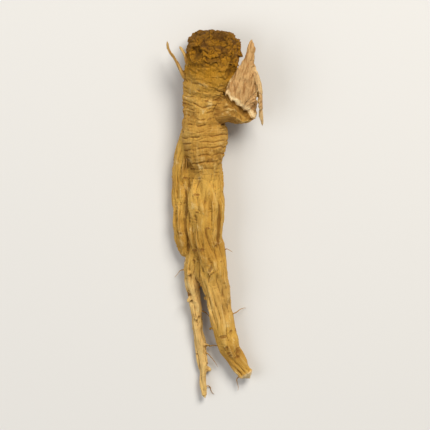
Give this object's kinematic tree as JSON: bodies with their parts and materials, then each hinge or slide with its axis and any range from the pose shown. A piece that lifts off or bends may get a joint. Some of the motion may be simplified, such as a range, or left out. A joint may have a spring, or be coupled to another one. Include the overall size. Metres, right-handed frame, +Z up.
{
  "type": "dried ginseng root",
  "caption": "Whole dried ginseng root lying on its side: knobbly crown, ringed neck, furrowed body, side root, torn stub, forked legs and rootlets.",
  "frame": {"origin": "on the surface that the root lies on, under the middle of its outline seen from above", "axes": "+Y along the root towards its crown, +Z up from the surface, +X to the side of the torn stub"},
  "size_m": [0.0192, 0.0734, 0.0106],
  "materials": {
    "root_skin": "dry, matt, golden tan skin with darker furrows and pale torn ends"
  },
  "bodies": {
    "root": {"ginseng_root": "root_skin"}
  },
  "joints": []
}
